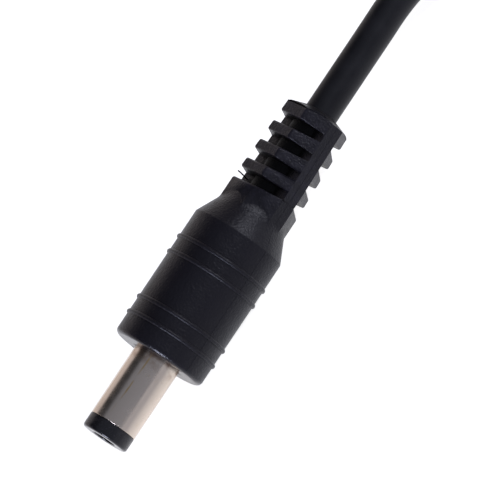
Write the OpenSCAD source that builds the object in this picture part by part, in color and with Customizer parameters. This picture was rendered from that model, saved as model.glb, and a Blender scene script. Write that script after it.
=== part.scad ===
// Moulded DC power plug on a round two-core lead, with a stripped and tinned free end.
// X runs along the plug, with the tip at -X and the lead leaving towards +X.
// The origin is on the plug's axis, where the barrel comes out of the moulding's front face.
// Z is the direction in which the mould opens: the parting plane is the XY plane.

/* [Barrel] */
// Outside diameter of the barrel
barrel_d = 5.5; // [5:0.1:6.3]
// How far the tip stands out of the moulding
barrel_reach = 10.3; // [9:0.1:12]
// Wall of the metal sleeve
sleeve_wall = 0.4; // [0.3:0.05:0.5]
// Length of the insulating nose ring
nose_len = 1.7; // [1.2:0.1:2.5]
// How much the nose ring is under the sleeve's radius, so that it never catches
nose_under = 0.01; // [0:0.01:0.05]
// Rounding of the nose ring's front edge
nose_round = 0.45; // [0.1:0.05:0.6]
// Radial room between the contact's bore and the hole in the nose
nose_hole_room = 0.07; // [0.04:0.01:0.07]

/* [Centre contact] */
// Bore that takes the centre pin of the jack
pin_bore_d = 2.5; // [2:0.1:2.6]
// Depth of that bore
pin_bore_depth = 9; // [8:0.1:9.4]
// Wall of the contact around its bore
contact_wall = 0.35; // [0.25:0.05:0.4]
// How far the contact's lip lies behind the nose's face
contact_recess = 0.5; // [0.2:0.1:0.8]
// Width of the two slits that make the contact springy
slit_w = 0.35; // [0.2:0.05:0.5]
// Length of the slits
slit_len = 6; // [3:0.5:7]
// Diameter of the contact's solder tail
tail_d = 1.6; // [1.3:0.1:1.8]
// Play between the turned parts and the insulator they are pressed into
press_gap = 0.01; // [0:0.01:0.03]

/* [Anchor and solder tag] */
// How much the sleeve's radius is turned down inside the moulding
stem_cut = 0.18; // [0.17:0.01:0.22]
// How far the sleeve's full diameter reaches into the moulding
stem_in = 0.15; // [0.1:0.01:0.18]
// Distance from the moulding's front face to the sleeve's anchor flange
flange_in = 1.2; // [0.8:0.1:1.6]
// Diameter of the anchor flange
flange_d = 8; // [7.4:0.1:8.6]
// Thickness of the anchor flange
flange_t = 0.8; // [0.5:0.1:1]
// Distance across the two flats that stop the flange turning
flange_flats = 6.8; // [6.4:0.1:7.2]
// Outside diameter of the tag's ring
tag_ring_d = 7.2; // [6.9:0.1:7.6]
// Thickness of the tag's sheet brass
tag_t = 0.4; // [0.3:0.05:0.5]
// Width of the tag's tongue
tag_w = 1.8; // [1.6:0.1:2.2]
// Length of the sleeve behind the tag's ring
sleeve_rear = 2.2; // [1.8:0.1:2.6]
// Thickness of the rear insulating washer
washer_t = 0.8; // [0.5:0.1:1]

/* [Lead] */
// Diameter of the lead's outer jacket
cord_d = 3.8; // [3.6:0.1:4]
// Diameter of each insulated core
core_d = 1.4; // [1.3:0.05:1.5]
// Diameter of each bundle of copper strands
strand_d = 0.8; // [0.6:0.05:0.85]
// Clear distance between the two cores
core_gap = 0.1; // [0.05:0.05:0.2]
// Length of the jacket from the moulding to its free end
cord_len = 815; // [760:5:880]
// Length of insulated core that shows at the free end
bare_core = 14; // [10:1:16]
// Length of tinned strands at the free end
tinned_len = 6; // [4:1:8]

/* [Solder joints] */
// Length of each solder joint
joint_len = 2.6; // [2:0.1:3]
// Thickness of solder over the strands
solder_t = 0.3; // [0.2:0.05:0.3]
// Depth of the grooves in which the strands lie on the tail and on the tongue
groove_depth = 0.1; // [0.05:0.05:0.15]
// Room between one end of a joint and what comes next
joint_room = 0.5; // [0.4:0.1:0.7]
// Length of insulated core between the black core's joint and the jacket
core_run = 2.6; // [2:0.1:4]

/* [Moulding] */
// Diameter of the grip
grip_d = 10.9; // [10.6:0.1:11.6]
// Rounding of the grip's front edge
grip_round = 0.6; // [0.3:0.1:0.9]
// Length of the grip up to the shoulder
grip_len = 15.75; // [15:0.05:17]
// Diameter of the neck
neck_d = 8.45; // [8.3:0.05:8.8]
// Length of the shoulder cone
shoulder_len = 2.55; // [1.8:0.05:3]
// Length of the neck
neck_len = 3.15; // [2:0.05:4]
// Bevel along the neck's edge at the first slot
neck_bevel = 0.15; // [0.05:0.05:0.25]

/* [Grip rings] */
// Height of the raised rings above the grip
ring_rise = 0.2; // [0.1:0.05:0.3]
// Radius of the rings' rounded section
ring_round = 0.25; // [0.2:0.05:0.35]
// Distance from the front face to the middle of the front pair
front_pair = 3.65; // [3:0.05:4.5]
// Distance from the front face to the middle of the rear pair
rear_pair = 11.45; // [10:0.05:12.5]
// Distance between the two rings of a pair
pair_pitch = 1.95; // [1.2:0.05:2.4]

/* [Bend relief] */
// Distance across the spines' faces at the first rib
flats_front = 8.2; // [8:0.05:8.3]
// Distance across the spines' faces at the end plate
flats_rear = 7.66; // [7.4:0.02:7.8]
// Angle between a spine's face and the slanting flat next to it
slant_angle = 37.25; // [34:0.25:41]
// How much less it is across the slanting flats than across the spines' faces
slant_less = 0.51; // [0.4:0.01:0.6]
// How much less it is across the top and bottom flats than across the spines' faces
top_less = 0.78; // [0.6:0.02:0.9]
// Number of free ribs between the neck and the end plate
rib_count = 3; // [2:1:5]
// Distance from one slot to the next
rib_pitch = 2.48; // [2.3:0.01:2.8]
// Width of a slot at its root
slot_w = 0.95; // [0.9:0.05:1.2]
// Slope of each slot's front wall, which lets the blade out of the mould
slot_slope = 8; // [0:1:12]
// Width of the two spines that join the ribs
spine_w = 1.85; // [1.6:0.05:2.4]
// Wall of the tube around the jacket between the ribs
tube_wall = 0.25; // [0.2:0.05:0.5]
// Thickness of the end plate at its rim
plate_t = 1.3; // [1:0.05:2]
// How far the end plate's face swells towards the lead
plate_swell = 0.85; // [0.1:0.05:0.9]

/* [Hank and tie] */
// Turns side by side in each run of the hank
hank_columns = 2; // [1:1:2]
// Turns on top of each other in the hank
hank_layers = 3; // [3:1:4]
// Bend radius of the tightest fold, in diameters of the lead
fold_radii = 3; // [3:0.1:3.5]
// Width of the strap around the hank
tie_w = 8; // [5:1:12]
// Thickness of the strap
tie_t = 0.4; // [0.3:0.1:0.8]

/* [Hidden] */
$fn = 64;
eps = 0.01;
tube_sides = 8;

// The barrel and its insulator
sleeve_r = barrel_d / 2;
sleeve_bore_r = sleeve_r - sleeve_wall;
nose_r = sleeve_r - nose_under;
stem_r = sleeve_r - stem_cut;
liner_r = sleeve_bore_r - press_gap;
pin_bore_r = pin_bore_d / 2;
nose_hole_r = pin_bore_r + nose_hole_room;
contact_r = pin_bore_r + contact_wall;
contact_seat_r = contact_r + press_gap;
tail_r = tail_d / 2;
tip_x = -barrel_reach;
sleeve_front_x = tip_x + nose_len;
contact_front_x = tip_x + contact_recess;
bore_end_x = contact_front_x + pin_bore_depth;

// The anchor, the tag and the washer, one behind the other
flange_x = flange_in;
tag_x = flange_x + flange_t;
sleeve_end_x = tag_x + tag_t + sleeve_rear;
washer_x = sleeve_end_x;
washer_end_x = washer_x + washer_t;
contact_head_x = max(bore_end_x + tail_r, flange_x);

// The cores lie side by side, level with the mould's parting plane
core_r = core_d / 2;
strand_r = strand_d / 2;
core_y = core_r + core_gap / 2;
red_joint_x = washer_end_x + joint_room;
red_joint_end_x = red_joint_x + joint_len;
red_core_x = red_joint_end_x + joint_room;
black_joint_x = red_core_x + joint_room;
black_joint_end_x = black_joint_x + joint_len;
black_core_x = black_joint_end_x + joint_room;
jacket_x = black_core_x + core_run;
tail_flat_y = core_y - strand_r + groove_depth;
tongue_y = -core_y - strand_r + groove_depth;
solder_r = strand_r + solder_t;

// The moulding's stations along the axis
grip_r = grip_d / 2;
neck_r = neck_d / 2;
cord_r = cord_d / 2;
neck_x = grip_len + shoulder_len;
relief_x = neck_x + neck_len;
slot_count = rib_count + 1;
plate_x = relief_x + rib_count * rib_pitch + slot_w;
rim_x = plate_x + plate_t;
exit_x = rim_x + plate_swell;
tube_r = cord_r + tube_wall;
ring_r = grip_r + ring_rise;
floor_z = -ring_r;
beyond = grip_d;

// The free lead: distance from the moulding, and the share of the way across to the hank
CORD_STEPS = [
    [0, 0], [4, 0], [8, 0], [11, 0], [14, 0], [16, 0.03], [18, 0.1], [20, 0.21], [22, 0.35],
    [24, 0.51], [26, 0.67], [28, 0.82], [29.5, 0.92], [31, 1]
];

// The hank lies on its strap, in line with the plug, and the strap is level with the grip's side
fold_in_r = fold_radii * cord_d;
fold_out_r = fold_in_r + (hank_columns - 1) * cord_d;
hank_in_r = fold_in_r - cord_r;
hank_out_r = fold_out_r + cord_r;
hank_h = hank_layers * cord_d;
hank_z = floor_z + tie_t;
join_x = exit_x + CORD_STEPS[len(CORD_STEPS) - 1][0];
join_y = cord_r + tie_t - ring_r;
join_z = hank_z + cord_r;
hank_y = join_y + fold_out_r;
join_edge = hank_y - join_y - cord_r;
fold_x = join_x + sqrt(hank_out_r * hank_out_r - join_edge * join_edge) + eps;
turns = hank_columns * hank_layers;
fold_mean_r = (fold_in_r + fold_out_r) / 2;
end_gap = 2;
bare_len = bare_core + tinned_len;
folds_len = 2 * PI * fold_mean_r * turns - PI * fold_mean_r;
lead_in = join_x - exit_x + 1 + fold_x - join_x;
hank_run = (cord_len - lead_in - folds_len + bare_len + end_gap) / (2 * turns);
far_fold_x = fold_x + hank_run;
end_x = fold_x + end_gap + bare_len;
end_y = hank_y + fold_in_r;
end_z = hank_z + hank_h - cord_r;
tie_x = fold_x + hank_run / 2 - tie_w / 2;

function cord_point(step) = [
    exit_x + step[0],
    join_y * step[1],
    join_z * step[1]
];
CORD_ROUTE = [for (step = CORD_STEPS) cord_point(step)];

// Turns a solid made along Z so that it lies along X.
module along_x() {
    rotate([90, 0, 90]) children();
}

// A rod along the plug's axis, from one station to another.
module rod(from_x, to_x, r, y = 0, z = 0) {
    translate([from_x, y, z]) along_x() cylinder(h = to_x - from_x, r = r);
}

// A block whose lowest corner and size are given.
module block(corner, size) {
    translate(corner) cube(size);
}

// Half of a turned section with a rounded front edge, at the right of the Z axis.
module rounded_front(r, length, edge) {
    square([r - edge, length]);
    translate([0, edge]) square([r, length - edge]);
    translate([r - edge, edge]) circle(r = edge);
}

// ---- The barrel ----

// The turned and plated sleeve, with its anchor flange and rear end inside the moulding.
module sleeve_outside() {
    rod(sleeve_front_x, stem_in, sleeve_r);
    rod(stem_in - eps, sleeve_end_x, stem_r);
    intersection() {
        rod(flange_x, flange_x + flange_t, flange_d / 2);
        block([flange_x - 1, -flange_flats / 2, -flange_d], [flange_t + 2, flange_flats, 2 * flange_d]);
    }
}

module outer_sleeve() {
    color("#b7b0a8") difference() {
        sleeve_outside();
        rod(sleeve_front_x - 1, sleeve_end_x + 1, sleeve_bore_r);
    }
}

// The black nose ring and the liner round the contact are one moulding.
module nose_insulator() {
    color("#26262b") difference() {
        union() {
            translate([tip_x, 0, 0]) along_x() rotate_extrude() rounded_front(nose_r, nose_len, nose_round);
            rod(sleeve_front_x - eps, contact_head_x, liner_r);
        }
        rod(tip_x - 1, contact_front_x + eps, nose_hole_r);
        rod(contact_front_x, contact_head_x + 1, contact_seat_r);
    }
}

// ---- The centre contact ----

module contact_tail() {
    difference() {
        rod(contact_head_x - eps, red_joint_end_x, tail_r);
        block([red_joint_x, tail_flat_y, -tail_d], [joint_len + 1, tail_d, 2 * tail_d]);
        rod(red_joint_x, exit_x, strand_r, core_y);
    }
}

module centre_contact() {
    color("#c9a86a") union() {
        difference() {
            rod(contact_front_x, contact_head_x, contact_r);
            rod(contact_front_x - 1, bore_end_x, pin_bore_r);
            block([contact_front_x - 1, -slit_w / 2, -contact_r - 1], [slit_len + 1, slit_w, 2 * contact_r + 2]);
        }
        contact_tail();
    }
}

// A flanged washer that keeps the contact's tail off the sleeve: its neck plugs the sleeve behind the liner.
module washer_outside() {
    rod(washer_x, washer_end_x, stem_r);
}

module rear_washer() {
    color("#8a5a2e") difference() {
        union() {
            washer_outside();
            rod(contact_head_x, washer_x + eps, liner_r);
        }
        rod(contact_head_x - 1, washer_end_x + 1, tail_r + press_gap);
    }
}

// ---- The solder tag ----

// The tongue runs back over the washer, then steps in to meet the black strands.
module tag_tongue() {
    step_x = washer_end_x + joint_room;
    difference() {
        translate([0, 0, -tag_w / 2]) linear_extrude(tag_w) polygon([
            [tag_x, -stem_r - tag_t],
            [step_x, -stem_r - tag_t],
            [black_joint_x - joint_room, tongue_y - tag_t],
            [black_joint_end_x, tongue_y - tag_t],
            [black_joint_end_x, tongue_y],
            [black_joint_x - joint_room, tongue_y],
            [step_x, -stem_r],
            [tag_x, -stem_r]
        ]);
        rod(black_joint_x, exit_x, strand_r, -core_y);
    }
}

module tag_outside() {
    rod(tag_x, tag_x + tag_t, tag_ring_d / 2);
    tag_tongue();
}

module solder_tag() {
    color("#c8c4bb") difference() {
        tag_outside();
        rod(tag_x - 1, tag_x + tag_t + sleeve_rear, stem_r);
    }
}

// ---- The cores and their joints ----

module red_core_outside() {
    rod(red_core_x, exit_x, core_r, core_y);
}

module black_core_outside() {
    rod(black_core_x, exit_x, core_r, -core_y);
}

module red_strands() {
    color("#b87333") rod(red_joint_x, exit_x, strand_r, core_y);
}

module black_strands() {
    color("#b87333") rod(black_joint_x, exit_x, strand_r, -core_y);
}

module red_core() {
    color("#b01818") difference() {
        red_core_outside();
        rod(red_core_x - 1, exit_x + 1, strand_r, core_y);
    }
}

module black_core() {
    color("#202020") difference() {
        black_core_outside();
        rod(black_core_x - 1, exit_x + 1, strand_r, -core_y);
    }
}

// Solder wraps the red strands and the flattened tail.
module red_solder_outside() {
    rod(red_joint_x, red_joint_end_x, solder_r, core_y);
}

module red_solder() {
    color("#c4c6c8") difference() {
        red_solder_outside();
        rod(red_joint_x - 1, red_joint_end_x + 1, strand_r, core_y);
        contact_tail();
    }
}

// Solder wraps the black strands on top of the tag's tongue.
module black_solder_outside() {
    intersection() {
        rod(black_joint_x, black_joint_end_x, solder_r, -core_y);
        block([black_joint_x - 1, tongue_y, -solder_r], [joint_len + 2, 2 * solder_r, 2 * solder_r]);
    }
}

module black_solder() {
    color("#c4c6c8") difference() {
        black_solder_outside();
        rod(black_joint_x - 1, black_joint_end_x + 1, strand_r, -core_y);
    }
}

// The jacket's end that the moulding grips.
module cable_jacket() {
    color("#2b2b2f") difference() {
        rod(jacket_x, exit_x, cord_r);
        rod(jacket_x - 1, exit_x + 1, core_r, core_y);
        rod(jacket_x - 1, exit_x + 1, core_r, -core_y);
    }
}

// ---- The moulding ----

// The turned outline of the grip, its shoulder, the neck and the end plate's swelling face.
module turned_outline() {
    rounded_front(grip_r, grip_len, grip_round);
    polygon([[0, grip_len - eps], [grip_r, grip_len - eps], [grip_r, grip_len], [neck_r, neck_x], [0, neck_x]]);
    polygon([
        [0, neck_x - eps],
        [neck_r, neck_x - eps],
        [neck_r, rim_x],
        [cord_r, exit_x],
        [0, exit_x]
    ]);
}

// Two opposite flats of the relief: level up to the first rib, then drawing in to the end plate.
module pair_of_flats(less) {
    front = (flats_front - less) / 2;
    rear = (flats_rear - less) / 2;
    translate([0, 0, -beyond]) linear_extrude(2 * beyond) polygon([
        [-1, -beyond], [grip_len, -beyond], [neck_x, -front], [relief_x, -front],
        [rim_x, -rear], [exit_x + 1, -rear], [exit_x + 1, rear], [rim_x, rear],
        [relief_x, front], [neck_x, front], [grip_len, beyond], [-1, beyond]
    ]);
}

// One slot: two blades come in along Z and stop at the spines and at the tube round the jacket.
module slot_cutter(x) {
    half_spine = spine_w / 2;
    lean = (beyond - half_spine) * tan(slot_slope);
    difference() {
        for (side = [0, 1]) mirror([0, 0, side]) translate([0, beyond, 0]) rotate([90, 0, 0])
            linear_extrude(2 * beyond) polygon([
                [x, half_spine], [x + slot_w, half_spine], [x + slot_w, beyond], [x - lean, beyond]
            ]);
        rod(x - beyond, x + beyond, tube_r);
    }
}

// The bevel along the neck's edge, where the first slot begins.
module neck_bevel_cutter() {
    translate([relief_x, 0, 0]) along_x() difference() {
        translate([0, 0, -2 * neck_bevel]) cylinder(h = 2 * neck_bevel + eps, r = grip_r);
        translate([0, 0, -2 * neck_bevel]) cylinder(h = 2 * neck_bevel + 2 * eps, r1 = neck_r, r2 = neck_r - neck_bevel);
    }
}

module grip_rings() {
    for (pair = [front_pair, rear_pair], side = [-0.5, 0.5])
        translate([pair + side * pair_pitch, 0, 0]) along_x() rotate_extrude()
            translate([ring_r - ring_round, 0]) circle(r = ring_round);
}

// Everything that the plastic flows round.
module inner_parts() {
    sleeve_outside();
    tag_outside();
    washer_outside();
    contact_tail();
    red_solder_outside();
    black_solder_outside();
    red_core_outside();
    black_core_outside();
    rod(red_joint_x, exit_x, strand_r, core_y);
    rod(black_joint_x, exit_x, strand_r, -core_y);
    rod(jacket_x, exit_x + 1, cord_r);
}

module overmould() {
    color("#1f1e24") difference() {
        intersection() {
            union() {
                along_x() rotate_extrude() turned_outline();
                grip_rings();
            }
            pair_of_flats(0);
            rotate([slant_angle, 0, 0]) pair_of_flats(slant_less);
            rotate([-slant_angle, 0, 0]) pair_of_flats(slant_less);
            rotate([90, 0, 0]) pair_of_flats(top_less);
        }
        for (i = [0:slot_count - 1]) slot_cutter(relief_x + i * rib_pitch);
        neck_bevel_cutter();
        inner_parts();
    }
}

// ---- The free lead ----

// A smooth tube through a list of points.
function unit(v) = v / norm(v);
function heading(route, i) = unit(route[min(i + 1, len(route) - 1)] - route[max(i - 1, 0)]);
function ring_points(route, i, r) = let (
    ahead = i == 0 ? [1, 0, 0] : i == len(route) - 1 ? [1, 0, 0] : heading(route, i),
    side = unit(cross([0, 0, 1], ahead)),
    up = cross(ahead, side)
) [for (k = [0:tube_sides - 1]) let (turn = (k + 0.5) * 360 / tube_sides)
    route[i] + r * (cos(turn) * side + sin(turn) * up)];

module swept_tube(route, r) {
    n = len(route);
    m = tube_sides;
    points = [for (i = [0:n - 1]) each ring_points(route, i, r)];
    walls = [for (i = [0:n - 2], k = [0:m - 1]) [
        m * i + k, m * i + (k + 1) % m, m * (i + 1) + (k + 1) % m, m * (i + 1) + k
    ]];
    front = [for (k = [m - 1:-1:0]) k];
    back = [for (k = [0:m - 1]) m * (n - 1) + k];
    polyhedron(points = points, faces = concat([front], walls, [back]), convexity = 4);
}

module free_cord() {
    color("#2b2b2f") swept_tube(CORD_ROUTE, cord_r);
}

// The outline of the hank seen from above, out to a given distance from the folds' centres.
module racetrack(r) {
    translate([fold_x, hank_y]) circle(r = r);
    translate([far_fold_x, hank_y]) circle(r = r);
    translate([fold_x, hank_y - r]) square([hank_run, 2 * r]);
}

// The hank's outer shape, a lead-in that the free lead meets, and the place of the stripped end.
module cord_hank() {
    color("#2b2b2f") difference() {
        union() {
            translate([0, 0, hank_z]) linear_extrude(hank_h) difference() {
                racetrack(hank_out_r);
                racetrack(hank_in_r);
            }
            block([join_x, join_y - cord_r, hank_z], [fold_x - join_x, cord_d, cord_d]);
        }
        block([fold_x, hank_y + hank_in_r - eps, end_z - cord_r], [end_x - fold_x, cord_d + eps, cord_d + 1]);
    }
}

// A flat strap pulled round both runs.
module hank_strap() {
    y = hank_out_r;
    top = hank_h;
    color("#3a3a40") translate([tie_x, hank_y, hank_z]) along_x() linear_extrude(tie_w) difference() {
        union() {
            translate([-y, -tie_t]) square([2 * y, top + 2 * tie_t]);
            translate([-y - tie_t, 0]) square([2 * y + 2 * tie_t, top]);
            for (side = [-y, y], level = [0, top]) translate([side, level]) circle(r = tie_t);
        }
        translate([-y, 0]) square([2 * y, top]);
    }
}

// ---- The stripped end ----

module core_end(side) {
    difference() {
        rod(end_x - bare_core, end_x, core_r, end_y + side * core_y, end_z);
        rod(end_x - bare_core - 1, end_x + 1, strand_r, end_y + side * core_y, end_z);
    }
}

module strand_end(side) {
    rod(end_x - bare_len, end_x, strand_r, end_y + side * core_y, end_z);
}

module red_core_end() {
    color("#b01818") core_end(1);
}

module black_core_end() {
    color("#202020") core_end(-1);
}

module red_strand_end() {
    color("#c4c6c8") strand_end(1);
}

module black_strand_end() {
    color("#c4c6c8") strand_end(-1);
}

overmould();
outer_sleeve();
nose_insulator();
centre_contact();
rear_washer();
solder_tag();
red_core();
black_core();
red_strands();
black_strands();
red_solder();
black_solder();
cable_jacket();
free_cord();
cord_hank();
hank_strap();
red_core_end();
black_core_end();
red_strand_end();
black_strand_end();
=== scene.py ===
# %% [markdown]
# # A moulded DC barrel plug on its lead
# The object is the end of a power adapter's lead: a nickel-plated barrel that slides into a socket, a black
# PVC grip that is moulded round it, a slotted bend relief, and a thin two-core lead.
# The lesson dresses the CAD model of that object. Each step first says what the real piece is and how it is
# made, because the way a thing is made decides how its surface catches the light.

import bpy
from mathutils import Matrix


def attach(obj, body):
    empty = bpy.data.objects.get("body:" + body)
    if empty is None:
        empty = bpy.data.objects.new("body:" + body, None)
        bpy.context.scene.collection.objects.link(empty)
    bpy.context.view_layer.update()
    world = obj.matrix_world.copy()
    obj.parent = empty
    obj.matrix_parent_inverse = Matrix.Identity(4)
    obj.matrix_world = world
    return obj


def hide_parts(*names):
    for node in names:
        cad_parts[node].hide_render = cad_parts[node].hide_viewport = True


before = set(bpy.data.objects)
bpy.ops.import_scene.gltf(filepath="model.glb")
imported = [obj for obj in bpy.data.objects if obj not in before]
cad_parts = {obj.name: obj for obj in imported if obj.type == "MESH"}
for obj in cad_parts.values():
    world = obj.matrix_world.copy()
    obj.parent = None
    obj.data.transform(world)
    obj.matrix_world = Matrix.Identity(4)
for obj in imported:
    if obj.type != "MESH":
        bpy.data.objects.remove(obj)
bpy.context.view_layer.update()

# %% [markdown]
# ## Measures and axes
# The plug lies along X: its tip points to -X and the lead leaves towards +X. Z is the direction in which
# the two halves of the mould open, so the parting plane is the XY plane. The drawing is in millimetres and
# Blender works in metres, so every length goes through one factor.

# %% Units and drawing sizes
import math

import bmesh
import bpy
import numpy as np
from mathutils import Matrix, Vector

MM = 0.001
BARREL_R = 2.75
SLEEVE_FRONT = -8.6
TIP = -10.3
CONTACT_FRONT = -9.8
GRIP_R = 5.45
GRIP_END = 15.75
NECK_R = 4.225
NECK_START = 18.3
RELIEF_START = 21.45
EXIT = 31.99
CORD_R = 1.9
FLOOR = -5.65


def metres(*values):
    return tuple(value * MM for value in values)


print("the plug is %.1f mm long without its lead" % (EXIT - TIP))

# %% [markdown]
# ## The camera
# The plug is seen from its side and from above, with its tip towards the lower left. A long lens from a
# distance keeps the parallel edges of the moulding parallel. The camera's three directions are built from
# the plug's own axis, so that the tilt in the picture is one number: how far the axis is turned from the
# upright.

# %% Place the camera
towards_camera = Vector((-0.112, -0.783, 0.611)).normalized()
along = (Vector((1, 0, 0)) - towards_camera * towards_camera.x).normalized()
across = towards_camera.cross(along)
TILT = math.radians(33.74)
picture_right = along * math.sin(TILT) - across * math.cos(TILT)
picture_up = along * math.cos(TILT) + across * math.sin(TILT)

DISTANCE = 0.8
VIEW_WIDTH = 0.0538
aim = Vector(metres(15.4, -1.1, -1.4))
camera_data = bpy.data.cameras.new("camera")
camera_data.sensor_width = 36
camera_data.lens = 36 * DISTANCE / VIEW_WIDTH
camera_data.clip_start = 0.01
camera_data.clip_end = 20
camera = bpy.data.objects.new("camera", camera_data)
bpy.context.scene.collection.objects.link(camera)
turn = Matrix((picture_right, picture_up, towards_camera)).transposed().to_4x4()
camera.matrix_world = Matrix.Translation(aim + towards_camera * DISTANCE) @ turn
bpy.context.scene.camera = camera
print("lens %.0f mm" % camera_data.lens)

# %% [markdown]
# ## The lead's route
# The lead is an extruded round jacket over two cores. It leaves the moulding straight, because the bend
# relief holds it, and then bends gently sideways and down to the hank in which the rest of it is put away.
# The hank could be drawn as six closed rings, but a real one is a single length: each turn passes to the
# next place in the stack while it goes round the near fold. The changes of place follow each other round
# that fold, so that no turn runs through its neighbour.

# %% Work out the route
STEPS_OUT = [
    (0, 0), (4, 0), (8, 0), (11, 0), (14, 0), (16, 0.03), (18, 0.1), (20, 0.21), (22, 0.35),
    (24, 0.51), (26, 0.67), (28, 0.82), (29.5, 0.92), (31, 1),
]
JOIN = (62.99, -3.35, -3.35)
HANK_Y = 11.85
NEAR_FOLD_X = 73.748
FAR_FOLD_X = 101.634
LEAD_END_X = 95.748
INNER_FOLD = 11.4
OUTER_FOLD = 15.2
LAYERS = [-3.35, 0.45, 4.25]
CHANGE_START_X = 79.25
STEP = 0.7
CHANGES_PER_FOLD = 2.16
CHANGE_LAG = 0.29


def share_across(distance):
    """How far across to the hank the lead is, at a distance from the moulding, on a smooth curve."""
    stations = [step[0] for step in STEPS_OUT]
    shares = [step[1] for step in STEPS_OUT]
    slopes = np.gradient(shares, stations)
    slopes[0] = slopes[-1] = 0
    i = min(int(np.searchsorted(stations, distance, side="right")) - 1, len(stations) - 2)
    width = stations[i + 1] - stations[i]
    t = (distance - stations[i]) / width
    return (
        (2 * t**3 - 3 * t**2 + 1) * shares[i]
        + (t**3 - 2 * t**2 + t) * width * slopes[i]
        + (3 * t**2 - 2 * t**3) * shares[i + 1]
        + (t**3 - t**2) * width * slopes[i + 1]
    )


def lead_route():
    points = []
    for distance in np.arange(0, 31, STEP):
        share = share_across(distance)
        points.append((EXIT + distance, JOIN[1] * share, JOIN[2] * share))
    for x in np.arange(JOIN[0], NEAR_FOLD_X, STEP):
        points.append((x, JOIN[1], JOIN[2]))
    low, middle, top = LAYERS
    places = [
        (OUTER_FOLD, low), (INNER_FOLD, low), (INNER_FOLD, middle),
        (OUTER_FOLD, middle), (OUTER_FOLD, top), (INNER_FOLD, top),
    ]
    mean_fold = (INNER_FOLD + OUTER_FOLD) / 2
    straight_part = CHANGE_START_X - NEAR_FOLD_X
    change_length = (straight_part + math.pi * mean_fold) / CHANGES_PER_FOLD
    for turn_number, (radius, z) in enumerate(places):
        last = turn_number == len(places) - 1
        following = places[turn_number] if last else places[turn_number + 1]

        def place(station):
            lag = (4 - turn_number) * CHANGE_LAG * change_length
            t = min(max((station - lag) / change_length, 0), 1)
            share = 0.5 - 0.5 * math.cos(math.pi * t)
            return radius + (following[0] - radius) * share, z + (following[1] - z) * share

        for x in np.arange(NEAR_FOLD_X, FAR_FOLD_X, STEP):
            points.append((x, HANK_Y - radius, z))
        count = int(math.pi * radius / STEP)
        for i in range(count):
            angle = -math.pi / 2 + math.pi * i / count
            points.append((FAR_FOLD_X + radius * math.cos(angle), HANK_Y + radius * math.sin(angle), z))
        for x in np.arange(FAR_FOLD_X, LEAD_END_X if last else NEAR_FOLD_X, -STEP):
            r, level = place(CHANGE_START_X - x)
            points.append((x, HANK_Y + r, level))
        if last:
            points.append((LEAD_END_X, HANK_Y + radius, z))
            break
        count = int(math.pi * mean_fold / STEP)
        for i in range(count):
            angle = math.pi / 2 + math.pi * i / count
            r, level = place(straight_part + math.pi * mean_fold * i / count)
            points.append((NEAR_FOLD_X + r * math.cos(angle), HANK_Y + r * math.sin(angle), level))
    return [metres(*point) for point in points]


route = lead_route()
route_length = sum(math.dist(a, b) for a, b in zip(route, route[1:]))
print("route: %d points, %.4f m" % (len(route), route_length))

# %% [markdown]
# ## Small helpers for nodes
# A material or a geometry tree is a list of nodes and links. One short helper adds a node, sets it up,
# links it and gives the output that is asked for, so that each tree below reads from left to right. Colours
# are written as they look on a screen and turned into the linear values that the renderer counts with.

# %% Helpers for colours, nodes and materials
MATH, RANGE, MIX = "ShaderNodeMath", "ShaderNodeMapRange", "ShaderNodeMix"
NOISE, BUMP = "ShaderNodeTexNoise", "ShaderNodeBump"
SPLIT, COMBINE = "ShaderNodeSeparateXYZ", "ShaderNodeCombineXYZ"
MIX_FIRST, MIX_SECOND, MIX_RESULT = 6, 7, 2  # the places of a colour mix among the sockets of all its kinds


def colour(code):
    """A screen colour such as #1f1e24 as linear red, green, blue and an alpha of 1."""
    parts = [int(code[i : i + 2], 16) / 255 for i in (1, 3, 5)]
    return tuple(p / 12.92 if p <= 0.04045 else ((p + 0.055) / 1.055) ** 2.4 for p in parts) + (1.0,)


def plug(tree, node, inputs):
    """Gives a node's inputs, by name or in order, each a plain value or another node's output."""
    pairs = inputs.items() if isinstance(inputs, dict) else enumerate(inputs)
    for name, value in pairs:
        if isinstance(value, bpy.types.NodeSocket):
            tree.links.new(value, node.inputs[name])
        else:
            node.inputs[name].default_value = value


def add(tree, kind, inputs=(), output=0, **settings):
    """Adds one node, with its settings and its inputs, and gives one of its outputs."""
    node = tree.nodes.new(kind)
    for name, value in settings.items():
        setattr(node, name, value)
    plug(tree, node, inputs)
    return node.outputs[output]


def new_finish(name, base, roughness, **sockets):
    """An empty finish: its material, its tree and its Principled shader."""
    finish = bpy.data.materials.new(name)
    finish.use_nodes = True
    tree = finish.node_tree
    shader = tree.nodes["Principled BSDF"]
    shader.inputs["Base Color"].default_value = colour(base)
    shader.inputs["Roughness"].default_value = roughness
    for socket, value in sockets.items():
        shader.inputs[socket.replace("_", " ")].default_value = value
    return finish, tree, shader


def dress(tree, shader, relief, share, first, second):
    """Gives a shader its bump, by height, strength and depth, and a colour between two others."""
    bump = dict(zip(("Height", "Strength", "Distance"), relief))
    tint = {0: share, MIX_FIRST: first, MIX_SECOND: second}
    plug(tree, shader, {
        "Normal": add(tree, BUMP, bump), "Base Color": add(tree, MIX, tint, MIX_RESULT, data_type="RGBA"),
    })


def millimetres(tree, stretch=(1, 1, 1)):
    """The place on the object in millimetres, stretched where a pattern is longer one way."""
    place = add(tree, "ShaderNodeTexCoord", output="Object")
    return add(tree, "ShaderNodeMapping", {"Vector": place, "Scale": tuple(s / MM for s in stretch)})


print("helpers are ready")

# %% [markdown]
# ## The jacket's plastic
# The lead's jacket is black PVC that was pushed through a round die while soft. The die leaves very fine
# lines along the lead, and the cooled skin is a soft satin. A noise that is stretched along the lead gives
# those lines. It reads the tube's own two coordinates, so it follows every bend. A finer noise adds grain,
# and a wide one makes the gloss uneven, as handling does.

# %% Finish: extruded black PVC


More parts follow.
